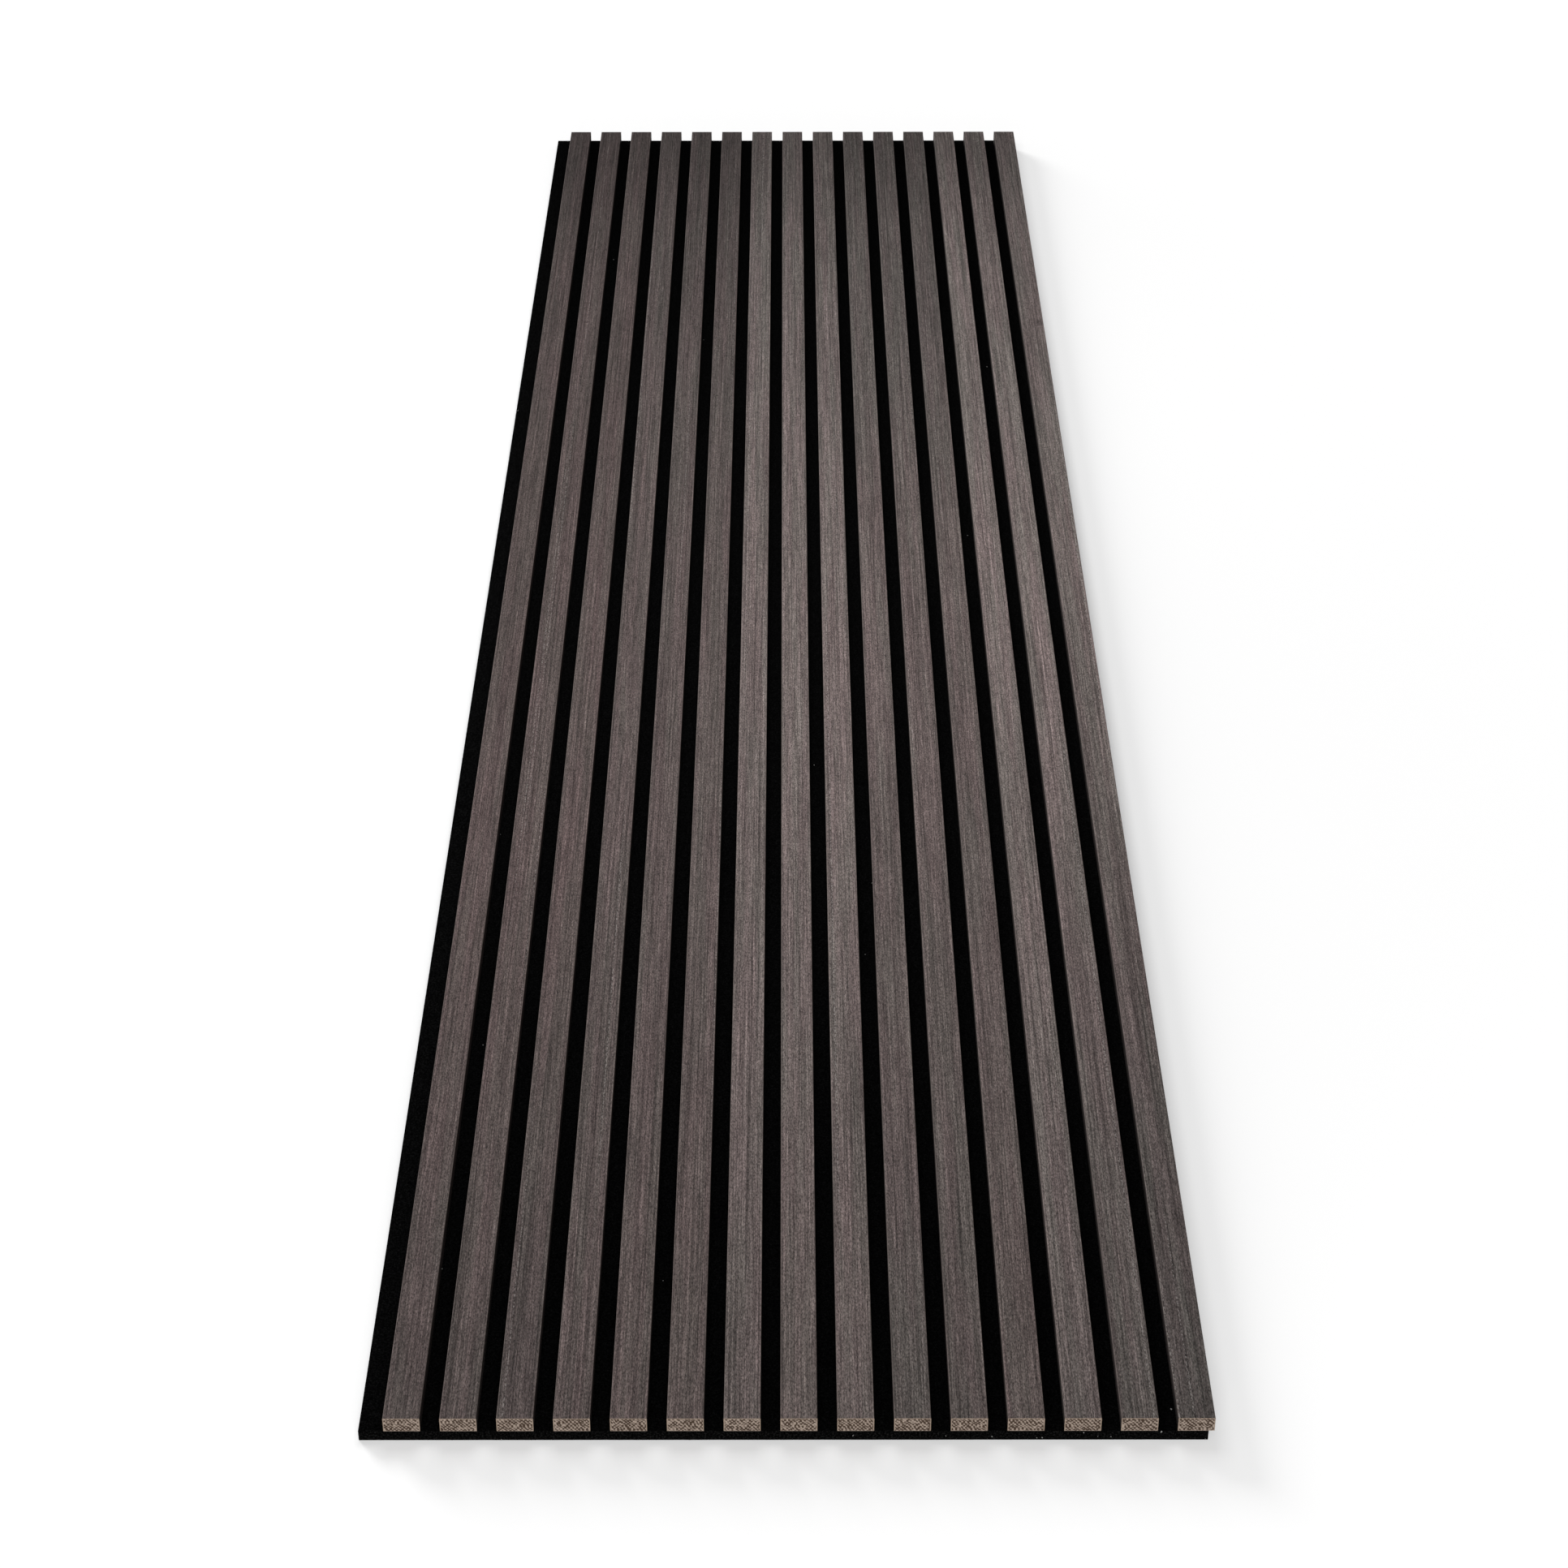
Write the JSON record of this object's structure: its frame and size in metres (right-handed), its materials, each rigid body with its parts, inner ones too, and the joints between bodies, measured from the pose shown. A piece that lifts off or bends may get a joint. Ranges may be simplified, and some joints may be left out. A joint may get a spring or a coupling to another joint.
{
  "type": "acoustic slat wall panel",
  "caption": "Long flat wall panel of parallel veneered MDF slats stapled to a black felt board; the open grooves and the felt soften the sound of a room.",
  "frame": {"origin": "centre of the felt board's back face", "axes": "+X across the slats towards the lapping slat, +Y along the slats, +Z out of the veneered face"},
  "size_m": [0.604, 2.4, 0.021],
  "materials": {
    "veneer": "grey-brown straight-grained wood veneer, matt lacquer",
    "mdf": "raw sawn fibreboard, tan",
    "felt": "black pressed polyester felt",
    "wire": "galvanised staple wire"
  },
  "bodies": {
    "root": {"felt_backing": "felt", "fixing_staples": "wire", "mdf_core_01": "mdf", "mdf_core_02": "mdf", "mdf_core_03": "mdf", "mdf_core_04": "mdf", "mdf_core_05": "mdf", "mdf_core_06": "mdf", "mdf_core_07": "mdf", "mdf_core_08": "mdf", "mdf_core_09": "mdf", "mdf_core_10": "mdf", "mdf_core_11": "mdf", "mdf_core_12": "mdf", "mdf_core_13": "mdf", "mdf_core_14": "mdf", "mdf_core_15": "mdf", "veneer_wrap_01": "veneer", "veneer_wrap_02": "veneer", "veneer_wrap_03": "veneer", "veneer_wrap_04": "veneer", "veneer_wrap_05": "veneer", "veneer_wrap_06": "veneer", "veneer_wrap_07": "veneer", "veneer_wrap_08": "veneer", "veneer_wrap_09": "veneer", "veneer_wrap_10": "veneer", "veneer_wrap_11": "veneer", "veneer_wrap_12": "veneer", "veneer_wrap_13": "veneer", "veneer_wrap_14": "veneer", "veneer_wrap_15": "veneer"}
  },
  "joints": []
}
